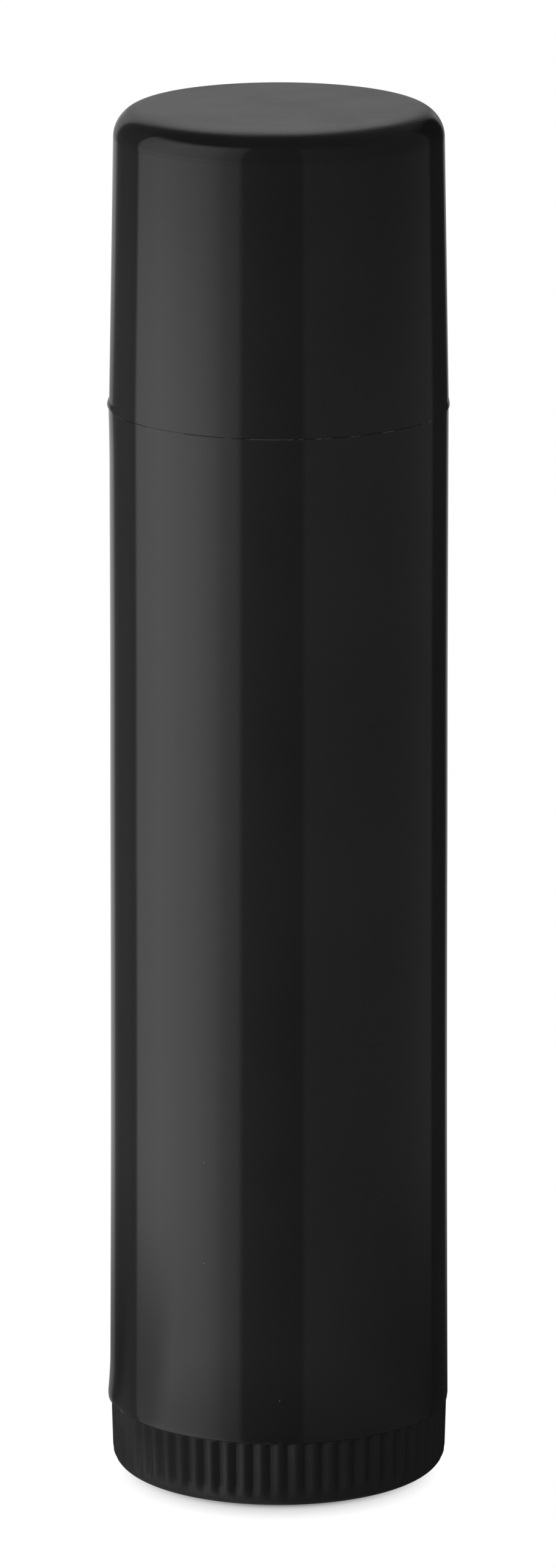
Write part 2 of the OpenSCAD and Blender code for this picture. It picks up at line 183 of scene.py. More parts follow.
class BalmSizes(bpy.types.PropertyGroup):
    """Sizes of the balm"""
    low_z: length("Low Height", "Height of the balm's lower end in the cup", BALM_LOW.z)
    top_z: length("Top Height", "Height of the dome's middle", BALM_HIGH.z)
    radius: length("Radius", "Radius of the balm", 6.1 * MM)
    dome: length("Dome", "Height of the dome", 1.5 * MM)
    edge: length("Edge Rounding", "Rounding of the dome's edge", 0.5 * MM)
    cup_z: length("Cup Rim", "Height at which the balm leaves the cup", 13.24 * MM)
    cup_radius: length("Cup Radius", "Radius of the balm inside the cup", 5.2 * MM)
    hub_radius: length("Hub Radius", "Radius of the hole round the cup's hub", 3.57 * MM)
    hub_z: length("Hub Top", "Height at which that hole ends", 11.6 * MM)
    hole: length("Screw Hole", "Radius of the hole round the screw", 2.75 * MM)
    hole_z: length("Hole Top", "Height at which the screw hole ends", 57.2 * MM)
    groove_width: length("Groove Width", "Width of the grooves that pass the guides", 1.14 * MM)
    groove_depth: length("Groove Depth", "Depth of the grooves", 0.42 * MM)
    groove_bevel: length("Groove Bevel", "Bevel in the grooves' corners", 0.15 * MM)


class Finishes(bpy.types.PropertyGroup):
    """Colours and gloss of the mouldings and the balm"""
    black: colour("Moulding Black", "Colour of the black mouldings", (0.0040, 0.0040, 0.0042))
    dust: colour("Dust", "Colour of the specks of dust", (0.09, 0.09, 0.095))
    wax: colour("Wax", "Colour of the balm", (0.88, 0.79, 0.57))
    gloss: share("Wall Roughness", "Roughness of the polished walls", 0.07)
    satin: share("Top Roughness", "Roughness of the cap's satin top", 0.30)
    satin_grain: share("Top Grain", "Depth of the grain in the cap's satin top, in microns", 5, 20)
    wheel: share("Wheel Roughness", "Roughness of the thumb wheel", 0.65)
    carrier: share("Carrier Roughness", "Roughness of the carrier cup", 0.38)


class StudioSetup(bpy.types.PropertyGroup):
    """The camera and the studio round the stick"""
    distance: length("Camera Distance", "Distance from the camera to its target", 497.8 * MM)
    target_z: length("Target Height", "Height of the camera's target", 33.555 * MM)
    side: length("Camera Offset", "How far the camera stands to the left", 0.043 * MM)
    elevation: FloatProperty(name="Elevation", description="Angle of the camera above level",
                             default=math.radians(13.67), subtype="ANGLE", unit="ROTATION")
    lens: FloatProperty(name="Focal Length", description="Focal length on a 36 mm sensor",
                        default=240.56, unit="CAMERA")
    floor: length("Floor", "Side of the square floor", 4.0)


def settings():
    """The scene's settings for the stick."""
    return bpy.context.scene.lip_balm


# Outlines are lists of (radius, height) points

def arc(centre_r, centre_z, radius, start, end, steps=ARC_STEPS):
    """Points on a round stretch of an outline, from one angle to another in degrees."""
    angles = [math.radians(start + (end - start) * i / steps) for i in range(steps + 1)]
    return [(centre_r + radius * math.cos(a), centre_z + radius * math.sin(a)) for a in angles]


def swell(wall_r, out, middle_z, height, steps=ARC_STEPS):
    """A soft round bead on a wall, or a groove where out is negative, from below to above."""
    places = [i / steps for i in range(steps + 1)]
    return [(wall_r + out * math.sin(math.pi * t) ** 2, middle_z + height * (t - 0.5))
            for t in places]


def ease(share_done):
    """A share from 0 to 1 that starts and stops gently."""
    t = min(1, max(0, share_done))
    return t * t * (3 - 2 * t)


def deselect():
    """Leave edit mode and deselect everything."""
    if bpy.context.object and bpy.context.object.mode != "OBJECT":
        bpy.ops.object.mode_set(mode="OBJECT")
    bpy.ops.object.select_all(action="DESELECT")


def draw_line(points):
    """In edit mode, draw a line through 3D points by extruding a vertex along it."""
    for before, after in zip(points, points[1:]):
        step = Vector(after) - Vector(before)
        bpy.ops.mesh.extrude_vertices_move(TRANSFORM_OT_translate={"value": step})


def start_line(name, start):
    """Add a small plane, merge it to one vertex at the start point, and stay in edit mode."""
    deselect()
    bpy.ops.mesh.primitive_plane_add(size=MM, location=start)
    piece = bpy.context.object
    piece.name = piece.data.name = name
    bpy.ops.object.transform_apply(location=True, rotation=True, scale=True)
    bpy.ops.object.mode_set(mode="EDIT")
    bpy.ops.mesh.select_mode(type="VERT")
    bpy.ops.mesh.merge(type="CENTER")
    return piece


def turn(name, outline, sides=SIDES):
    """Turn an outline round the axis into a closed piece."""
    points = [(r, 0, z) for r, z in outline]
    piece = start_line(name, points[0])
    draw_line(points)
    bpy.ops.mesh.select_all(action="SELECT")
    bpy.ops.mesh.spin(steps=sides, angle=math.tau, center=(0, 0, 0), axis=(0, 0, 1))
    close()
    return piece


def close():
    """Merge what meets, point the faces outwards and leave edit mode."""
    bpy.ops.mesh.select_all(action="SELECT")
    bpy.ops.mesh.remove_doubles(threshold=WELD)
    bpy.ops.mesh.dissolve_degenerate(threshold=WELD / 4)
    bpy.ops.mesh.delete_loose(use_verts=True, use_edges=True)
    bpy.ops.mesh.select_all(action="SELECT")
    bpy.ops.mesh.normals_make_consistent(inside=False)
    bpy.ops.object.mode_set(mode="OBJECT")


def choose(piece):
    """Leave edit mode and select this piece alone, as the active one."""
    deselect()
    bpy.context.view_layer.objects.active = piece
    piece.select_set(True)


def pick(piece, kind, wanted):
    """Select the vertices or faces for whose place wanted(place) holds, and enter edit mode."""
    choose(piece)
    bpy.ops.object.mode_set(mode="EDIT")
    bpy.ops.mesh.select_mode(type=kind)
    bpy.ops.mesh.select_all(action="DESELECT")
    mesh = bmesh.from_edit_mesh(piece.data)
    if kind == "FACE":
        for face in mesh.faces:
            face.select_set(wanted(face.calc_center_median()))
    else:
        for vertex in mesh.verts:
            vertex.select_set(wanted(vertex.co))
    bmesh.update_edit_mesh(piece.data)


def draw_out(piece, height, side, out, radius, inner):
    """Draw a flash out at a mould's parting line: the outer ring of a wall at a height, at the
    left where side is -1 and at the right where it is 1. Points within inner stay."""
    for reach in (radius * reach_share for reach_share in FLASH_REACHES):
        pick(piece, "VERT", lambda point: abs(point.z - height) < WELD
             and point.x * side > reach and point.xy.length > inner)
        stretch = 1 + out / len(FLASH_REACHES) / (radius - reach)
        bpy.ops.transform.resize(value=(stretch, 1, 1), center_override=(side * reach, 0, 0))
        bpy.ops.object.mode_set(mode="OBJECT")


def apply_modifier(piece, kind, **values):
    """Add a modifier, set it and apply it."""
    modifier = piece.modifiers.new(kind.title(), kind)
    for key, value in values.items():
        setattr(modifier, key, value)
    choose(piece)
    bpy.ops.object.modifier_apply(modifier=modifier.name)


def combine(piece, other, operation):
    """Join another solid to the piece, or cut it out, and remove the other solid."""
    apply_modifier(piece, "BOOLEAN", object=other, operation=operation, solver="EXACT")
    bpy.data.objects.remove(other)


def finish_piece(piece, body, material, slot, *nodes, angle=32):
    """Shade the piece, give it its material and put it in its node's place on its body."""
    choose(piece)
    bpy.ops.object.shade_smooth_by_angle(angle=math.radians(angle))
    piece.data.materials.clear()
    piece.data.materials.append(material)
    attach(piece, body)
    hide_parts(*nodes)


# Shader nodes

def add_node(tree, kind, inputs=None, **values):
    """Add a node, set its values, and link or fill its inputs."""
    node = tree.nodes.new(kind)
    node.location = (180 * (len(tree.nodes) % 9), -260 * (len(tree.nodes) // 9))
    for key, value in values.items():
        setattr(node, key, value)
    for key, value in (inputs or {}).items():
        if isinstance(value, bpy.types.NodeSocket):
            tree.links.new(value, node.inputs[key])
        else:
            node.inputs[key].default_value = value
    return node


def calculate(tree, operation, *terms, clamp=False):
    """A Math node's result."""
    return add_node(tree, "ShaderNodeMath", dict(enumerate(terms)), operation=operation,
                    use_clamp=clamp).outputs[0]


def times(tree, first, second):
    """Two values multiplied."""
    return calculate(tree, "MULTIPLY", first, second)


def less(tree, first, second, clamp=False):
    """The first value less the second."""
    return calculate(tree, "SUBTRACT", first, second, clamp=clamp)


def scaled_sum(tree, first, factor, second):
    """The first value times a factor, plus the second."""
    return calculate(tree, "MULTIPLY_ADD", first, factor, second)


def blend(tree, factor, first, second):
    """A value mixed from two."""
    return scaled_sum(tree, factor, less(tree, second, first), first)


def remap(tree, value, low, high, to_low=0.0, to_high=1.0, smooth=True):
    """A value moved from one range to another, easing at both ends where smooth."""
    kind = "SMOOTHSTEP" if smooth else "LINEAR"
    inputs = {"Value": value, "From Min": low, "From Max": high, "To Min": to_low, "To Max": to_high}
    return add_node(tree, "ShaderNodeMapRange", inputs, interpolation_type=kind).outputs["Result"]


def split(tree, vector):
    """A vector's three parts, by name."""
    return add_node(tree, "ShaderNodeSeparateXYZ", {0: vector}).outputs


def vector_math(tree, operation, *terms):
    """A Vector Math node's results, by name."""
    return add_node(tree, "ShaderNodeVectorMath", dict(enumerate(terms)),
                    operation=operation).outputs


def noise(tree, place, size, detail=2.0, roughness=0.5):
    """Noise with clouds of about a size."""
    inputs = {"Vector": place, "Scale": 1 / size, "Detail": detail, "Roughness": roughness}
    return add_node(tree, "ShaderNodeTexNoise", inputs).outputs["Fac"]


def mix_shaders(tree, factor, first, second):
    """A shader mixed from two."""
    return add_node(tree, "ShaderNodeMixShader", {0: factor, 1: first, 2: second}).outputs[0]


def glow(tree, kind, strength):
    """White light of a strength: an Emission or, in a world, a Background."""
    inputs = {"Color": (1, 1, 1, 1), "Strength": strength}
    return add_node(tree, "ShaderNode" + kind, inputs).outputs[0]


def blend_colours(tree, factor, first, second):
    """A colour mixed from two."""
    node = add_node(tree, "ShaderNodeMix", data_type="RGBA")
    for socket, value in zip((node.inputs[0], node.inputs[6], node.inputs[7]),
                             (factor, first, second)):
        if isinstance(value, bpy.types.NodeSocket):
            tree.links.new(value, socket)
        else:
            socket.default_value = value if socket.type == "VALUE" else (*value, 1)
    return node.outputs[2]


def new_group(name, inputs, *outputs):
    """A shader node group with a vector, other inputs with their defaults, and outputs."""
    tree = bpy.data.node_groups.new(name, "ShaderNodeTree")
    tree.interface.new_socket(name="Vector", in_out="INPUT", socket_type="NodeSocketVector")
    for socket, default in inputs.items():
        tree.interface.new_socket(name=socket, in_out="INPUT",
                                  socket_type="NodeSocketFloat").default_value = default
    for socket in outputs:
        tree.interface.new_socket(name=socket, in_out="OUTPUT", socket_type="NodeSocketFloat")
    return tree, tree.nodes.new("NodeGroupInput").outputs, tree.nodes.new("NodeGroupOutput").inputs


def moulded_surface(name):
    """The group for a moulded skin: uneven gloss, and the height in microns of a ripple and a
    fine grain."""
    tree, given, result = new_group(name, {"Roughness": 0.1, "Unevenness": 0.2, "Ripple": 0.35,
                                           "Grain": 0.05}, "Roughness", "Height")
    smudge = noise(tree, given["Vector"], 4 * MM, 3.0, 0.55)
    swing = remap(tree, smudge, 0.3, 0.7, -1.0, 1.0)
    change = scaled_sum(tree, swing, given["Unevenness"], 1.0)
    ripple = noise(tree, given["Vector"], 1.3 * MM, 1.0)
    fine = times(tree, noise(tree, given["Vector"], 0.06 * MM), given["Grain"])
    height = scaled_sum(tree, ripple, given["Ripple"], fine)
    tree.links.new(calculate(tree, "MULTIPLY", given["Roughness"], change, clamp=True),
                   result["Roughness"])
    tree.links.new(height, result["Height"])
    return tree


def dust_specks(name):
    """The group for specks of dust, and for the balm's pits: a few small specks, each in a cell of
    its own.
    """
    tree, given, result = new_group(name, {"Spacing": 0.9 * MM, "Size": 0.05, "Share": 0.1}, "Mask")
    cells = add_node(tree, "ShaderNodeTexVoronoi", {
        "Vector": given["Vector"], "Scale": calculate(tree, "DIVIDE", 1.0, given["Spacing"])})
    chance = add_node(tree, "ShaderNodeSeparateColor", {0: cells.outputs["Color"]})
    chosen = calculate(tree, "LESS_THAN", chance.outputs["Red"], given["Share"])
    size = times(tree, given["Size"], chance.outputs["Green"])
    speck = remap(tree, cells.outputs["Distance"], times(tree, size, 0.4), size, 1.0, 0.0)
    tree.links.new(times(tree, speck, chosen), result["Mask"])
    return tree


def edge_wear(name):
    """The group for wear: broken flecks round a level edge of a radius and height."""
    tree, given, result = new_group(name, {"Radius": 8 * MM, "Height": 0.0, "Width": 0.2 * MM,
                                           "Share": 0.5}, "Mask")
    height = split(tree, given["Vector"])["Z"]
    level_part = vector_math(tree, "MULTIPLY", given["Vector"], (1, 1, 0))["Vector"]
    radius = vector_math(tree, "LENGTH", level_part)["Value"]
    off_edge = add_node(tree, "ShaderNodeCombineXYZ", {
        "X": less(tree, radius, given["Radius"]), "Y": less(tree, height, given["Height"])})
    distance = vector_math(tree, "LENGTH", off_edge.outputs[0])["Value"]
    near = less(tree, 1.0, calculate(tree, "DIVIDE", distance, given["Width"]), clamp=True)
    flecks = noise(tree, given["Vector"], 1.1 * MM, 3.0, 0.6)
    level = less(tree, 1.0, given["Share"])
    broken = remap(tree, flecks, level, calculate(tree, "ADD", level, 0.08))
    tree.links.new(times(tree, near, broken), result["Mask"])
    return tree


def new_material(name):
    """A material with its tree, its object coordinates and its Principled shader."""
    material = bpy.data.materials.new(name)
    material.use_nodes = True
    tree = material.node_tree
    shader = next(n for n in tree.nodes if n.type == "BSDF_PRINCIPLED")
    place = add_node(tree, "ShaderNodeTexCoord").outputs["Object"]
    return material, tree, place, shader


def feed(tree, shader, colour_socket, roughness, height):
    """Link a shader's colour and roughness, and its bump from a height in microns."""
    bump = add_node(tree, "ShaderNodeBump", {"Height": height, "Distance": MICRON, "Strength": 1.0})
    tree.links.new(colour_socket, shader.inputs["Base Color"])
    tree.links.new(roughness, shader.inputs["Roughness"])
    tree.links.new(bump.outputs["Normal"], shader.inputs["Normal"])


def use_group(tree, make_group, place, **inputs):
    """The results of a group at object coordinates, made first where it isn't there yet."""
    name = make_group.__name__.replace("_", " ").title()
    group = bpy.data.node_groups.get(name) or make_group(name)
    return add_node(tree, "ShaderNodeGroup", {"Vector": place, **inputs}, node_tree=group).outputs


# Height over which a gloss turns satin, how much evener the gloss is there, and the share of a
# worn fleck's and a mark's own colour and roughness that shows
SATIN_RUN = 0.3 * MM
SATIN_EVENER = 0.06
MARK_SHARE = 0.5


def moulding(name, roughness, edges=(), grain=0.05, dust=0.05, satin_from=None):
    """A black moulded material with a grain in microns. Edges are (radius, height, width, share
    worn) of worn edges, and satin_from is the height from which it is satin."""
    finish = settings().finishes
    material, tree, place, shader = new_material(name)
    gloss = roughness
    uneven = 0.16
    if satin_from is not None:
        top = remap(tree, split(tree, place)["Z"], satin_from, satin_from + SATIN_RUN)
        gloss = scaled_sum(tree, top, finish.satin - roughness, roughness)
        uneven = scaled_sum(tree, top, -SATIN_EVENER, uneven)
        grain = scaled_sum(tree, top, finish.satin_grain, grain)
    skin = use_group(tree, moulded_surface, place, Roughness=gloss, Unevenness=uneven, Grain=grain)
    marks = use_group(tree, dust_specks, place, Share=dust)["Mask"]
    for radius, height, width, worn in edges:
        wear = use_group(tree, edge_wear, place, Radius=radius, Height=height, Width=width,
                         Share=worn)["Mask"]
        marks = calculate(tree, "MAXIMUM", marks, times(tree, wear, MARK_SHARE))
    shade = remap(tree, noise(tree, place, 9 * MM), 0.3, 0.7)
    black = blend_colours(tree, shade, [c * 0.8 for c in finish.black],
                          [c * 1.2 for c in finish.black])
    colour_socket = blend_colours(tree, marks, black, finish.dust)
    rough = calculate(tree, "MAXIMUM", skin["Roughness"], times(tree, marks, MARK_SHARE))
    feed(tree, shader, colour_socket, rough, skin["Height"])
    return material


def wax():
    """The balm's wax: creamy, faintly mottled and soft, with tiny sunk pits painted darker as
    painted shade.
    """
    finish = settings().finishes
    material, tree, place, shader = new_material("wax_cream")
    skin = use_group(tree, moulded_surface, place, Roughness=0.42, Unevenness=0.2, Ripple=12,
                     Grain=3)
    pits = use_group(tree, dust_specks, place, Spacing=0.7 * MM, Size=0.16, Share=0.25)["Mask"]
    shade = remap(tree, noise(tree, place, 3 * MM, 4.0, 0.6), 0.3, 0.7)
    cream = blend_colours(tree, shade, finish.wax, [c * 0.93 for c in finish.wax])
    # The pits are sunk by the bump and painted darker: painted shade
    colour_socket = blend_colours(tree, times(tree, pits, 0.3), cream,
                                  [c * 0.7 for c in finish.wax])
    height = scaled_sum(tree, pits, -12.0, skin["Height"])
    feed(tree, shader, colour_socket, skin["Roughness"], height)
    shader.inputs["Subsurface Weight"].default_value = 0.35
    shader.inputs["Subsurface Radius"].default_value = (1.0, 0.7, 0.4)
    shader.inputs["Subsurface Scale"].default_value = 1.5 * MM
    shader.inputs["IOR"].default_value = 1.44
    return material


# The pieces

# How sharply the flash runs out up the lip and down from the shoulder, as powers
LIP_FALL = 1.5
SHOULDER_FALL = 2


class LIPBALM_OT_barrel(bpy.types.Operator):
    """Model the barrel: a waisted tube with guide ribs, a neck, and flash at its lip and shoulder"""
    bl_idname = "lip_balm.barrel"
    bl_label = "Barrel"

    def wall_r(self, z):
        """The radius of the outside wall at a height."""
        s = settings().barrel
        flare = s.flare * max(0, 1 - (z - s.foot_z - s.lip_radius) / s.flare_height) ** 2
        return s.radius + flare + s.belly * ease((s.belly_top - z) / s.belly_run)

    def rings(self):
        """Heights of the wall's rings over the lip, up to the waist and below the shoulder."""
        s = settings().barrel
        lip_z = s.foot_z + s.lip_radius
        lip_top = lip_z + s.lip_height
        edge_z = s.rim_z - s.neck_height - s.shoulder_radius
        steps = 3 * ARC_STEPS
        lip = [lip_z + s.lip_height * i / ARC_STEPS for i in range(ARC_STEPS)]
        middle = [lip_top + (s.belly_top - lip_top) * i / steps for i in range(steps + 1)]
        top = [edge_z - s.top_height * (1 - i / ARC_STEPS) for i in range(ARC_STEPS)]
        return lip, middle, top + [edge_z - HOLD]

    def shoulder(self):
        """The outline of the shoulder's edge."""
        s = settings().barrel
        return arc(s.radius - s.shoulder_radius, s.rim_z - s.neck_height - s.shoulder_radius,
                   s.shoulder_radius, 0, 90, 4)

    def guide_ends(self):
        """Heights of the guide ribs' lower and upper ends."""
        s = settings().barrel
        return s.socket_top + 2 * HOLD, s.rim_z - s.guide_gap

    def outline(self):
        """The outline up the wall, over the shoulder and the neck's rim, and down the bore."""
        s = settings().barrel
        lip_r = s.radius + s.flare - s.lip_radius
        shoulder_z = s.rim_z - s.neck_height
        neck_r = s.bore + s.neck_wall
        rounding = s.neck_rounding
        lip, middle, top = self.rings()
        guide_z, guide_top = self.guide_ends()
        return (
            arc(lip_r, s.foot_z + s.lip_radius, s.lip_radius, -90, 0)
            + [(self.wall_r(z), z) for z in lip[1:] + middle + top]
            + self.shoulder()
            + [(neck_r + 2 * HOLD, shoulder_z)]
            + arc(neck_r + HOLD, shoulder_z + HOLD, HOLD, 270, 180, 3)
            + swell(neck_r, s.bead_out, shoulder_z + s.bead_z, s.bead_height)
            + [(neck_r, s.rim_z - rounding - HOLD)]
            + arc(neck_r - rounding, s.rim_z - rounding, rounding, 0, 90)
            + arc(s.bore + rounding / 2, s.rim_z - rounding / 2, rounding / 2, 90, 180)
            + [(s.bore, guide_top), (s.bore, guide_z), (s.bore, s.socket_top),
               (s.socket, s.socket_top)]
            + swell(s.socket, -s.snap_out, s.foot_z + s.snap_z, s.snap_height)[::-1]
            + [(s.socket, s.foot_z + 2 * HOLD), (s.socket + 2 * HOLD, s.foot_z),
               (lip_r, s.foot_z)])

    def raise_guides(self, piece):
        """Draw the guide ribs out of the bore's wall."""
        s = settings().barrel
        guide_z, guide_top = self.guide_ends()
        between = 360 / GUIDES

        def on_guide(centre):
            across = math.degrees(math.atan2(centre.y, centre.x)) % between
            return (abs(centre.xy.length - s.bore) < HOLD and guide_z < centre.z < guide_top
                    and min(across, between - across) < GUIDE_HALF_ANGLE)

        pick(piece, "FACE", on_guide)
        bpy.ops.mesh.extrude_region_move()
        inward = 1 - s.guide_out / s.bore
        bpy.ops.transform.resize(value=(inward, inward, 1), center_override=(0, 0, 0))
        bpy.ops.object.mode_set(mode="OBJECT")

    def raise_flash(self, piece):
        """Draw the flash out at the left of the lip and of the shoulder."""
        s = settings().barrel
        lip, middle, top = self.rings()
        for z in lip:
            out = s.lip_out * (1 - (z - lip[0]) / s.lip_height) ** LIP_FALL
            draw_out(piece, z, -1, out, s.radius, s.socket + HOLD)
        edge_z = top[-1] + HOLD
        for z in top[1:] + [z for r, z in self.shoulder()]:
            out = s.top_out * (1 - max(0, edge_z - z) / s.top_height) ** SHOULDER_FALL
            draw_out(piece, z, -1, out, s.radius, s.socket + HOLD)

    def execute(self, context):
        s = settings().barrel
        piece = turn("barrel_tube", self.outline())
        self.raise_guides(piece)
        self.raise_flash(piece)
        material = moulding("barrel_black", settings().finishes.gloss, [
            (s.radius, s.rim_z - s.neck_height, 0.07 * MM, 0.52),
            (s.radius + s.flare, s.foot_z, 0.08 * MM, 0.4)])
        finish_piece(piece, "barrel", material, "barrel_plastic", "barrel")
        return {"FINISHED"}


# The flash at the cap's mouth: shares of its height, and how far it stands out there
FLASH_SHARES = ((0, 0.92), (0.08, 1.0), (0.22, 1.0), (0.36, 0.95), (0.5, 0.84), (0.64, 0.7),
                (0.78, 0.5), (0.9, 0.22), (1.0, 0.0))


class LIPBALM_OT_cap(bpy.types.Operator):
    """Model the cap: a drafted cup with flash at its mouth and a dished, rounded top"""
    bl_idname = "lip_balm.cap"
    bl_label = "Cap"

    def wall_r(self, z):
        """The radius of the drafted wall at a height."""
        s = settings().cap
        return s.mouth_radius - s.draft * (z - s.mouth_z) / (s.top_z - s.rounding - s.mouth_z)

    def outline(self, rings):
        """The outline up the wall, over the dished top and down inside, round the ring there."""
        s = settings().cap
        wall_z = s.top_z - s.rounding
        face_r = s.mouth_radius - s.draft - s.rounding
        ceiling = s.top_z - s.dish - s.top_wall
        ring_inside = s.ring_radius - s.ring_wall
        steps = 2 * ARC_STEPS
        dish = [(face_r * (1 - t), s.top_z - s.dish * (1 - (1 - t) ** 2))
                for t in (i / steps for i in range(1, steps + 1))]
        return (
            [(s.bore + s.mouth_bevel, s.mouth_z), (s.mouth_radius - HOLD / 2, s.mouth_z)]
            + [(self.wall_r(z), z) for z in rings + [wall_z - HOLD]]
            + arc(face_r, wall_z, s.rounding, 0, 90, steps)
            + dish
            + [(0, ceiling), (ring_inside, ceiling), (ring_inside, ceiling - s.ring_height),
               (s.ring_radius, ceiling - s.ring_height), (s.ring_radius, ceiling)]
            + arc(s.bore - s.inner_rounding, ceiling - s.inner_rounding, s.inner_rounding, 90, 0)
            + [(s.bore, s.mouth_z + s.mouth_bevel), (s.bore + s.mouth_bevel, s.mouth_z)])

    def execute(self, context):
        s = settings().cap
        rings = [s.mouth_z + s.flash_height * ring for ring, out in FLASH_SHARES]
        piece = turn("cap_shell", self.outline(rings))
        for z, (ring, out) in zip(rings[:-1], FLASH_SHARES):
            draw_out(piece, z, -1, out * s.flash_left, s.mouth_radius, s.bore + 3 * HOLD)
            draw_out(piece, z, 1, out * s.flash_right, s.mouth_radius, s.bore + 3 * HOLD)
        material = moulding("cap_black", settings().finishes.gloss, satin_from=s.top_z - s.satin)
        finish_piece(piece, "cap", material, "cap_plastic", "cap")
        return {"FINISHED"}


# Where the skirt's outline has points over the ribs' fade at the foot and under the barrel, as
# shares of the two fades
FOOT_SHARES = (0.1, 0.2, 0.3, 0.45, 0.7)
TOP_SHARES = (2.0, 1.0, 0.75, 0.5, 0.25, 0)


class LIPBALM_OT_thumb_wheel(bpy.types.Operator):
    """Model the thumb wheel: a ribbed skirt, a collar and the screw, as one moulding"""
    bl_idname = "lip_balm.thumb_wheel"
    bl_label = "Thumb Wheel"

    def outline(self, valley):
        """The wheel's outline from its foot to its collar, at a share of a valley's depth."""
        s = settings().wheel
        foot_r = s.radius - s.draft
        floor_z = s.recess_depth + s.floor_wall
        top_z = s.height + s.collar_height
        skirt_top = s.height - HOLD / 4
        heights = ([s.rounding + s.rib_fade * t for t in FOOT_SHARES]
                   + [skirt_top - s.rib_top * t for t in TOP_SHARES])
        skirt = arc(foot_r - s.rounding, s.rounding, s.rounding, -90, 0, 2 * ARC_STEPS) + [
            (foot_r + s.draft * (z - s.rounding) / (skirt_top - s.rounding), z) for z in heights]
        ribbed = []
        for r, z in skirt:
            depth = ease((z - s.rounding / 3) / s.rib_fade) * ease((skirt_top - z) / s.rib_top)
            ribbed.append((r - s.rib_depth * valley * depth, z))
        last_r = ribbed[-1][0]
        dimple_z = s.recess_depth + s.dimple_depth
        collar_inside = s.collar - s.collar_wall
        return (
            [(0, dimple_z), (s.dimple - HOLD, dimple_z), (s.dimple, s.recess_depth),
             (s.recess, s.recess_depth), (s.recess, 2 * HOLD), (s.recess + 2 * HOLD, 0),
             (foot_r - s.rounding - HOLD, 0)]
            + ribbed
            + [(last_r - HOLD / 4, s.height), (s.collar, s.height)]
            + swell(s.collar, -s.groove, s.height + s.collar_height / 2, s.groove_height)
            + [(s.collar, top_z - 4 * HOLD), (s.collar - 4 * HOLD, top_z), (collar_inside, top_z),
               (collar_inside, floor_z), (0, floor_z)])

    def skirt(self):
        """Draw the outlines across one rib, bridge them, and copy the rib round the wheel."""
        s = settings().wheel
        step = math.tau / s.ribs
        piece = None
        for column in range(RIB_COLUMNS + 1):
            across = column / RIB_COLUMNS
            turned = step * across
            valley = (1 - abs(math.cos(math.pi * across))) * s.rib_edge + (
                math.sin(math.pi * across) ** 2 * (1 - s.rib_edge))
            points = [(r * math.cos(turned), r * math.sin(turned), z)
                      for r, z in self.outline(valley)]
            if piece is None:
                piece = start_line("thumb_wheel_ribbed", points[0])
            else:
                bpy.ops.mesh.select_all(action="DESELECT")
                bpy.ops.mesh.primitive_plane_add(size=MM, location=points[0])
                bpy.ops.mesh.merge(type="CENTER")
            draw_line(points)
        bpy.ops.mesh.select_all(action="SELECT")
        bpy.ops.mesh.bridge_edge_loops(type="SINGLE")
        bpy.ops.mesh.select_all(action="SELECT")
        bpy.ops.mesh.spin(steps=s.ribs - 1, angle=math.tau - step, center=(0, 0, 0),
                          axis=(0, 0, 1), dupli=True)
        close()
        return piece

    def thread(self):
        """Wind the thread's profile up the screw, from the collar to near the tip."""
        s = settings().wheel
        sunk = s.thread_out / 4
        slope = (s.thread_root - s.thread_crest) / s.thread_out
        half_root = (s.thread_root + slope * sunk) / 2
        first_z = s.height + s.collar_height + s.thread_root / 2
        rise = s.tip_z - s.thread_end - s.thread_root / 2 - first_z
        turns = math.floor(rise / s.pitch)
        part_of_turn = rise / s.pitch / turns
        profile = [(s.core - sunk, 0, first_z - half_root),
                   (s.core + s.thread_out, 0, first_z - s.thread_crest / 2),
                   (s.core + s.thread_out, 0, first_z + s.thread_crest / 2),
                   (s.core - sunk, 0, first_z + half_root)]
        piece = start_line("screw_thread", profile[0])
        draw_line(profile + profile[:1])
        bpy.ops.mesh.select_all(action="SELECT")
        bpy.ops.mesh.remove_doubles(threshold=WELD)
        bpy.ops.object.mode_set(mode="OBJECT")
        apply_modifier(piece, "SCREW", axis="Z", angle=math.tau * part_of_turn,
                       steps=SCREW_SIDES // 2, render_steps=SCREW_SIDES // 2,
                       screw_offset=s.pitch * part_of_turn, iterations=turns)
        bpy.ops.object.mode_set(mode="EDIT")
        bpy.ops.mesh.select_all(action="SELECT")
        bpy.ops.mesh.fill_holes(sides=4)
        close()
        return piece

    def screw(self):
        """Turn the screw's core and join the thread to it."""
        s = settings().wheel
        root_z = s.recess_depth + s.floor_wall / 2
        core = turn("screw_core", [
            (0, root_z), (s.core, root_z), (s.core, s.tip_z - s.tip_bevel),
            (s.core - s.tip_bevel, s.tip_z), (0, s.tip_z)], SCREW_SIDES)
        combine(core, self.thread(), "UNION")
        return core

    def execute(self, context):
        piece = self.skirt()
        combine(piece, self.screw(), "UNION")
        material = moulding("wheel_black", settings().finishes.wheel, grain=1.5)
        finish_piece(piece, "wheel", material, "wheel_plastic", "thumb_wheel", angle=40)
        return {"FINISHED"}


class LIPBALM_OT_carrier_cup(bpy.types.Operator):
    """Give the carrier cup, which keeps its solid, its satin black moulding"""
    bl_idname = "lip_balm.carrier_cup"
    bl_label = "Carrier Cup"

    def execute(self, context):
        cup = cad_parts["carrier_cup"]
        cup.data.materials.clear()
        cup.data.materials.append(moulding("carrier_black", settings().finishes.carrier, [
            (CUP_HIGH.x, CUP_HIGH.z, 0.3 * MM, 0.4)], grain=2.0))
        return {"FINISHED"}


# The balm's edge below its dome, as shares of the edge's rounding inwards and upwards, and the
# share of it inwards at which the dome starts
EDGE_SHARES = ((0, -0.5), (0.12, -0.1), (0.3, 0.1))
DOME_SHARE = 0.6


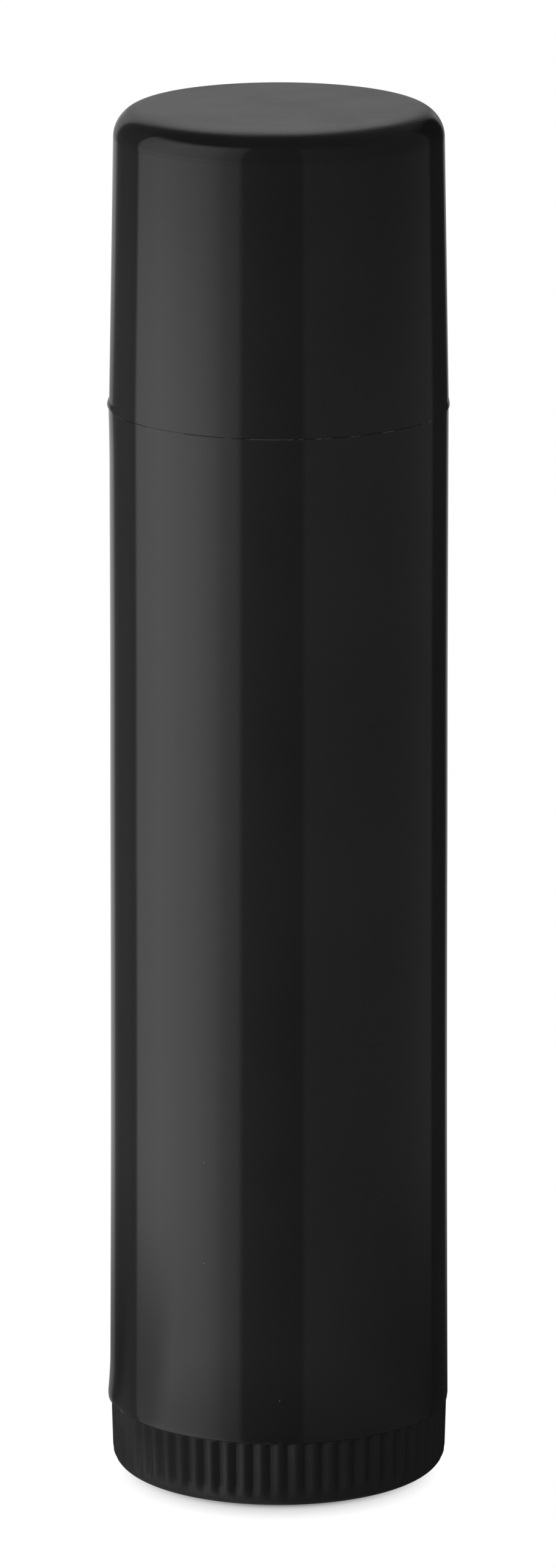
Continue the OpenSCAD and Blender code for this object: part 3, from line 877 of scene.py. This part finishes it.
class LIPBALM_OT_balm(bpy.types.Operator):
    """Model the balm: a domed wax stick with grooves for the guide ribs"""
    bl_idname = "lip_balm.balm"
    bl_label = "Balm"

    def outline(self):
        """The outline from the cup up over the dome and down the screw's hole."""
        s = settings().balm
        dome_r = (s.radius ** 2 + s.dome ** 2) / (2 * s.dome)
        top_angle = math.degrees(math.asin((s.radius - s.edge * DOME_SHARE) / dome_r))
        edge = [(s.radius - s.edge * inward, s.top_z - s.dome + s.edge * up)
                for inward, up in EDGE_SHARES]
        return (
            [(s.hub_radius, s.low_z), (s.cup_radius, s.low_z), (s.cup_radius, s.cup_z),
             (s.radius, s.cup_z)]
            + edge
            + arc(0, s.top_z - dome_r, dome_r, 90 - top_angle, 90, 2 * ARC_STEPS)
            + [(0, s.hole_z), (s.hole, s.hole_z), (s.hole, s.hub_z), (s.hub_radius, s.hub_z),
               (s.hub_radius, s.low_z)])

    def cut_groove(self, piece, angle):
        """Cut a groove for a guide rib down the balm."""
        s = settings().balm
        reach = s.groove_depth * 4
        deselect()
        bpy.ops.mesh.primitive_cube_add(size=1)
        cutter = bpy.context.object
        cutter.dimensions = (reach, s.groove_width, s.top_z)
        cutter.location = (s.radius - s.groove_depth + reach / 2, 0, s.low_z + s.top_z / 2)
        bpy.ops.object.transform_apply(location=True, rotation=True, scale=True)
        bpy.ops.transform.rotate(value=angle, orient_axis="Z", center_override=(0, 0, 0))
        bpy.ops.object.transform_apply(location=True, rotation=True, scale=True)
        apply_modifier(cutter, "BEVEL", width=s.groove_bevel, segments=3)
        combine(piece, cutter, "DIFFERENCE")

    def execute(self, context):
        piece = turn("balm_stick", self.outline())
        for i in range(GUIDES):
            self.cut_groove(piece, math.tau / GUIDES * i)
        finish_piece(piece, "carrier", wax(), "balm_wax", "balm", angle=40)
        return {"FINISHED"}


# The studio's light as the gloss sees it: strengths by azimuth in degrees round the stick, with
# 0 at the camera and 90 at the right, and by elevation on the sweep behind the stick
EYE_LEVEL = ((-180, 0.8), (-167, 0.53), (-154.5, 0.44), (-151.5, 0.17), (-146, 0.13), (-138, 0.14),
             (-127, 0.2), (-115.5, 0.24), (-112.8, 0.88), (-102, 1.15), (-90, 1.46), (-78, 1.56),
             (-60, 1.47), (-46, 1.18), (-38, 0.86), (-27.8, 0.67), (-24.6, 0.29), (-10, 0.235),
             (5, 0.195), (15.2, 0.172), (18.2, 0.285), (45, 0.248), (75, 0.21), (110, 0.17),
             (127, 0.128), (130.5, 0.042), (152, 0.02), (160.5, 0.03), (164, 0.26), (171, 0.28),
             (180, 0.5))
BEHIND = ((0, 0.33), (8, 0.36), (18, 0.45), (30, 0.75), (45, 1.1), (60, 1.3), (90, 1.3))
# The azimuth of that sweep's middle, half its width and how soft its sides are, and the
# elevations between which it starts and ends
SWEEP_MIDDLE = 185
SWEEP_HALF = 22
SWEEP_SOFT = 5
SWEEP_START = (-2.0, 2.0)
SWEEP_END = (48, 72)
# Elevations between which the cards weaken upwards, and the share that is left of them there
CARD_FADE = (-8.5, 2.0)
CARD_HIGH = 0.66
# The elevation of the cards' top edge at the camera, how it changes with each degree round the
# stick, and from how far below it to how far above it the light fades
CARD_TOP = 59.0
CARD_TOP_SLOPE = -0.21
CARD_TOP_SOFT = (-9.0, 6.0)
# The strength above the cards, and the even level that matt surfaces see
DARK = 0.11
FILL = 0.95
# A strength above all in those lists, by which the ramps' stops are divided to stay below 1
FULL = 2.0


def light_ramp(tree, angle, low, high, stops):
    """A light's strength along an angle in degrees, from a list of stops."""
    ramp = add_node(tree, "ShaderNodeValToRGB", {"Fac": remap(tree, angle, low, high, smooth=False)})
    elements = ramp.color_ramp.elements
    while len(elements) > 1:
        elements.remove(elements[-1])
    for i, (place, strength) in enumerate(stops):
        element = elements[0] if i == 0 else elements.new(1.0)
        element.position = (place - low) / (high - low)
        element.color = (*[strength / FULL] * 3, 1)
    return times(tree, ramp.outputs["Color"], FULL)


def degrees(tree, radians):
    """An angle in degrees."""
    return times(tree, radians, math.degrees(1))


def front_cards(tree, azimuth, elevation):
    """The cards of light round the stick, up to their top edge."""
    cards = times(tree, light_ramp(tree, azimuth, -180, 180, EYE_LEVEL),
                  remap(tree, elevation, *CARD_FADE, 1.0, CARD_HIGH, smooth=False))
    top = scaled_sum(tree, calculate(tree, "ABSOLUTE", azimuth), CARD_TOP_SLOPE, CARD_TOP)
    above = remap(tree, less(tree, elevation, top), *CARD_TOP_SOFT)
    return blend(tree, above, cards, DARK)


def sweep_share(tree, azimuth, elevation):
    """How much of the sweep behind the stick is seen in a direction."""
    round_back = calculate(tree, "WRAP", azimuth, 360.0, 0.0)
    off_middle = calculate(tree, "ABSOLUTE", less(tree, round_back, SWEEP_MIDDLE))
    inside = remap(tree, off_middle, SWEEP_HALF - SWEEP_SOFT, SWEEP_HALF + SWEEP_SOFT, 1.0, 0.0)
    risen = remap(tree, elevation, *SWEEP_START)
    return times(tree, times(tree, inside, risen), remap(tree, elevation, *SWEEP_END, 1.0, 0.0))


def studio_world():
    """White to the camera, an even level to matt surfaces, and cards of light to the gloss."""
    world = bpy.data.worlds.new("studio")
    bpy.context.scene.world = world
    world.use_nodes = True
    tree = world.node_tree
    tree.nodes.clear()
    part = split(tree, add_node(tree, "ShaderNodeTexCoord").outputs["Generated"])
    azimuth = degrees(tree, calculate(tree, "ARCTAN2", part["X"], times(tree, part["Y"], -1.0)))
    elevation = degrees(tree, calculate(tree, "ARCSINE", part["Z"]))
    cards = blend(tree, sweep_share(tree, azimuth, elevation),
                  front_cards(tree, azimuth, elevation),
                  light_ramp(tree, elevation, 0, 90, BEHIND))
    ray = add_node(tree, "ShaderNodeLightPath").outputs
    lit = mix_shaders(tree, ray["Is Glossy Ray"], glow(tree, "Background", FILL),
                      glow(tree, "Background", cards))
    seen = mix_shaders(tree, ray["Is Camera Ray"], lit, glow(tree, "Background", 1.0))
    add_node(tree, "ShaderNodeOutputWorld", {"Surface": seen})


# The stick's shadow on the floor as the camera sees it, partly real and partly painted: the paper's
# real shadow shows only inside a painted ring, outside which the camera sees white. How far the
# ring's middle lies before the axis, the distances between which its core fades out, and the core's
# share
SHADOW_AHEAD = 2 * MM
SHADOW_FADE = (5.3 * MM, 7.6 * MM)
SHADOW_CORE = 0.8
# Painted shade that the gloss sees on the floor, which is clear to glossy rays but for a dark glow
# mixed in: behind the foot and more so at the right, again far away, and right beside the foot,
# where it is lighter at the left. A fade has two distances from the axis, and a spread two parts of
# the way there along an axis of the scene
BEHIND_SPREAD = (-0.85, 0.5)
BEHIND_FADE = (12 * MM, 70 * MM)
BEHIND_DIM = 0.85
RIGHT_DIM = 0.25
FAR_START = (0.3, 0.45)
FAR_END = (0.5, 1.8)
FAR_DIM = 0.25
FOOT_FADE = (16 * MM, 36 * MM)
FOOT_DIM = 0.46
LEFT_SPREAD = (-0.8, 0.1)
LEFT_FADE = (14 * MM, 22 * MM)
LEFT_CLEAR = 0.4
PAINTED_SHADE_LEVEL = 0.02
# A painted grey glow, seen only by the gloss, softens the left card's edge on the floor close by:
# the way to it, how near to that way and from what distances the glow lies over it, and its share
# and strength
CARD_EDGE = (-0.998, 0.06, 0)
PAINTED_GLOW_SPREAD = (0.9, 0.99)
PAINTED_GLOW_FADE = (26 * MM, 56 * MM)
PAINTED_GLOW_SHARE = 0.42
PAINTED_GLOW = 0.26


def seen_floor(tree, place, ray):
    """The floor to the camera and to matt surfaces: pale, and white but for the shadow, which shows
    only inside a painted ring.
    """
    ahead = vector_math(tree, "ADD", place, (0, SHADOW_AHEAD, 0))["Vector"]
    reach = vector_math(tree, "LENGTH", ahead)["Value"]
    # Painted shadow ring: inside it the paper's real shadow shows, outside it white is painted
    shade = remap(tree, reach, *SHADOW_FADE, SHADOW_CORE, 0.0, smooth=False)
    paper = add_node(tree, "ShaderNodeBsdfDiffuse", {"Color": (0.8, 0.8, 0.8, 1)})
    bright = times(tree, ray["Is Camera Ray"], less(tree, 1.0, shade))
    return mix_shaders(tree, bright, paper.outputs[0], glow(tree, "Emission", 1.0))


def painted_floor_shade(tree, way, away):
    """How much painted shade the gloss sees on the floor, by the way to a place on it and its
    distance.
    """
    part = split(tree, way)
    behind = times(tree, remap(tree, part["Y"], *BEHIND_SPREAD, 0.0, BEHIND_DIM, smooth=False),
                   scaled_sum(tree, part["X"], RIGHT_DIM, 1.0))
    far = times(tree, remap(tree, away, *FAR_START, 0.0, FAR_DIM),
                remap(tree, away, *FAR_END, 1.0, 0.0))
    foot = remap(tree, away, *FOOT_FADE, FOOT_DIM, 0.0, smooth=False)
    near = remap(tree, away, *BEHIND_FADE, 1.0, 0.0)
    dim = calculate(tree, "MAXIMUM", scaled_sum(tree, near, behind, far), foot)
    left = times(tree, remap(tree, part["X"], *LEFT_SPREAD, LEFT_CLEAR, 0.0, smooth=False),
                 remap(tree, away, *LEFT_FADE, 1.0, 0.0, smooth=False))
    return times(tree, dim, less(tree, 1.0, left))


def floor_material():
    """A pale floor, white to the camera but for the stick's shadow, which shows inside a painted
    ring.
    The gloss sees the world's cards through it, with painted shade behind and beside the foot and
    again far away, and a painted grey glow over the left card's edge close by."""
    material = bpy.data.materials.new("floor_pale")
    material.use_nodes = True
    tree = material.node_tree
    tree.nodes.clear()
    place = add_node(tree, "ShaderNodeTexCoord").outputs["Object"]
    ray = add_node(tree, "ShaderNodeLightPath").outputs
    away = vector_math(tree, "LENGTH", place)["Value"]
    way = vector_math(tree, "NORMALIZE", place)["Vector"]
    clear = add_node(tree, "ShaderNodeBsdfTransparent")
    # Painted shade for glossy rays: a dark glow mixed in over the clear floor
    glossy = mix_shaders(tree, painted_floor_shade(tree, way, away), clear.outputs[0],
                         glow(tree, "Emission", PAINTED_SHADE_LEVEL))
    # Painted glow for glossy rays: grey light over the left card's edge on the floor near the foot
    toward = vector_math(tree, "DOT_PRODUCT", way, CARD_EDGE)["Value"]
    painted_glow = times(tree, remap(tree, toward, *PAINTED_GLOW_SPREAD, 0.0, PAINTED_GLOW_SHARE),
                 remap(tree, away, *PAINTED_GLOW_FADE, 1.0, 0.0))
    glossy = mix_shaders(tree, painted_glow, glossy, glow(tree, "Emission", PAINTED_GLOW))
    surface = mix_shaders(tree, ray["Is Glossy Ray"], seen_floor(tree, place, ray), glossy)
    add_node(tree, "ShaderNodeOutputMaterial", {"Surface": surface})
    return material


# The area lamps: name, place, size, and the strength on a white card at the stick
LAMPS = (("soft_back", (-0.12, 0.30, 0.42), 0.35, 0.25),
         ("soft_front", (-0.30, -0.32, 0.30), 0.40, 0.12))


def soft_lamp(name, location, target, size, strength):
    """A large area lamp that would give a white card at its target that strength."""
    away = Vector(location) - Vector(target)
    deselect()
    bpy.ops.object.light_add(type="AREA", location=location)
    lamp = bpy.context.object
    lamp.name = lamp.data.name = name
    lamp.rotation_euler = away.to_track_quat("Z", "Y").to_euler()
    lamp.data.shape = "DISK"
    lamp.data.size = size
    lamp.data.energy = strength * math.pi ** 2 * away.length_squared
    lamp.visible_glossy = False


class LIPBALM_OT_stage(bpy.types.Operator):
    """Set up the camera, the pale floor and the soft studio light"""
    bl_idname = "lip_balm.stage"
    bl_label = "Stage"

    def execute(self, context):
        s = settings().studio
        deselect()
        back = s.distance * math.cos(s.elevation)
        height = s.target_z + s.distance * math.sin(s.elevation)
        bpy.ops.object.camera_add(location=(-s.side, -back, height),
                                  rotation=(math.pi / 2 - s.elevation, 0, 0))
        camera = bpy.context.object
        camera.name = camera.data.name = "camera"
        camera.data.sensor_width = 36
        camera.data.lens = s.lens
        camera.data.clip_start = 10 * MM
        context.scene.camera = camera
        deselect()
        bpy.ops.mesh.primitive_plane_add(size=s.floor)
        floor = bpy.context.object
        floor.name = floor.data.name = "floor"
        floor.data.materials.append(floor_material())
        for name, place, size, strength in LAMPS:
            soft_lamp(name, place, (0, 0, s.target_z), size, strength)
        studio_world()
        context.scene.view_settings.view_transform = "Standard"
        return {"FINISHED"}


class LipBalmSettings(bpy.types.PropertyGroup):
    """All the settings of the stick"""
    barrel: PointerProperty(type=BarrelSizes, name="Barrel", description="Sizes of the barrel")
    cap: PointerProperty(type=CapSizes, name="Cap", description="Sizes of the cap")
    wheel: PointerProperty(type=WheelSizes, name="Wheel", description="Sizes of the wheel")
    balm: PointerProperty(type=BalmSizes, name="Balm", description="Sizes of the balm")
    finishes: PointerProperty(type=Finishes, name="Finishes", description="Colours and gloss")
    studio: PointerProperty(type=StudioSetup, name="Studio", description="Camera and floor")


OPERATORS = (LIPBALM_OT_stage, LIPBALM_OT_barrel, LIPBALM_OT_cap, LIPBALM_OT_thumb_wheel,
             LIPBALM_OT_carrier_cup, LIPBALM_OT_balm)


class LIPBALM_PT_panel(bpy.types.Panel):
    """The stick's operators and settings"""
    bl_idname = "LIPBALM_PT_panel"
    bl_label = "Lip Balm Stick"
    bl_space_type = "VIEW_3D"
    bl_region_type = "UI"
    bl_category = "Lip Balm"

    def draw(self, context):
        for operator in OPERATORS:
            self.layout.operator(operator.bl_idname)
        for group in LipBalmSettings.__annotations__:
            box = self.layout.box()
            box.label(text=group.title())
            values = getattr(settings(), group)
            for name in values.__annotations__:
                box.prop(values, name)


CLASSES = (BarrelSizes, CapSizes, WheelSizes, BalmSizes, Finishes, StudioSetup, LipBalmSettings,
           *OPERATORS, LIPBALM_PT_panel)


def register():
    """Register the classes and give scenes the stick's settings."""
    for item in CLASSES:
        bpy.utils.register_class(item)
    bpy.types.Scene.lip_balm = PointerProperty(type=LipBalmSettings)


def unregister():
    """Take the settings and the classes away again."""
    del bpy.types.Scene.lip_balm
    for item in reversed(CLASSES):
        bpy.utils.unregister_class(item)


def main():
    """Make the stage and every piece."""
    register()
    bpy.ops.lip_balm.stage()
    bpy.ops.lip_balm.barrel()
    bpy.ops.lip_balm.cap()
    bpy.ops.lip_balm.thumb_wheel()
    bpy.ops.lip_balm.carrier_cup()
    bpy.ops.lip_balm.balm()


if __name__ == "__main__":
    main()
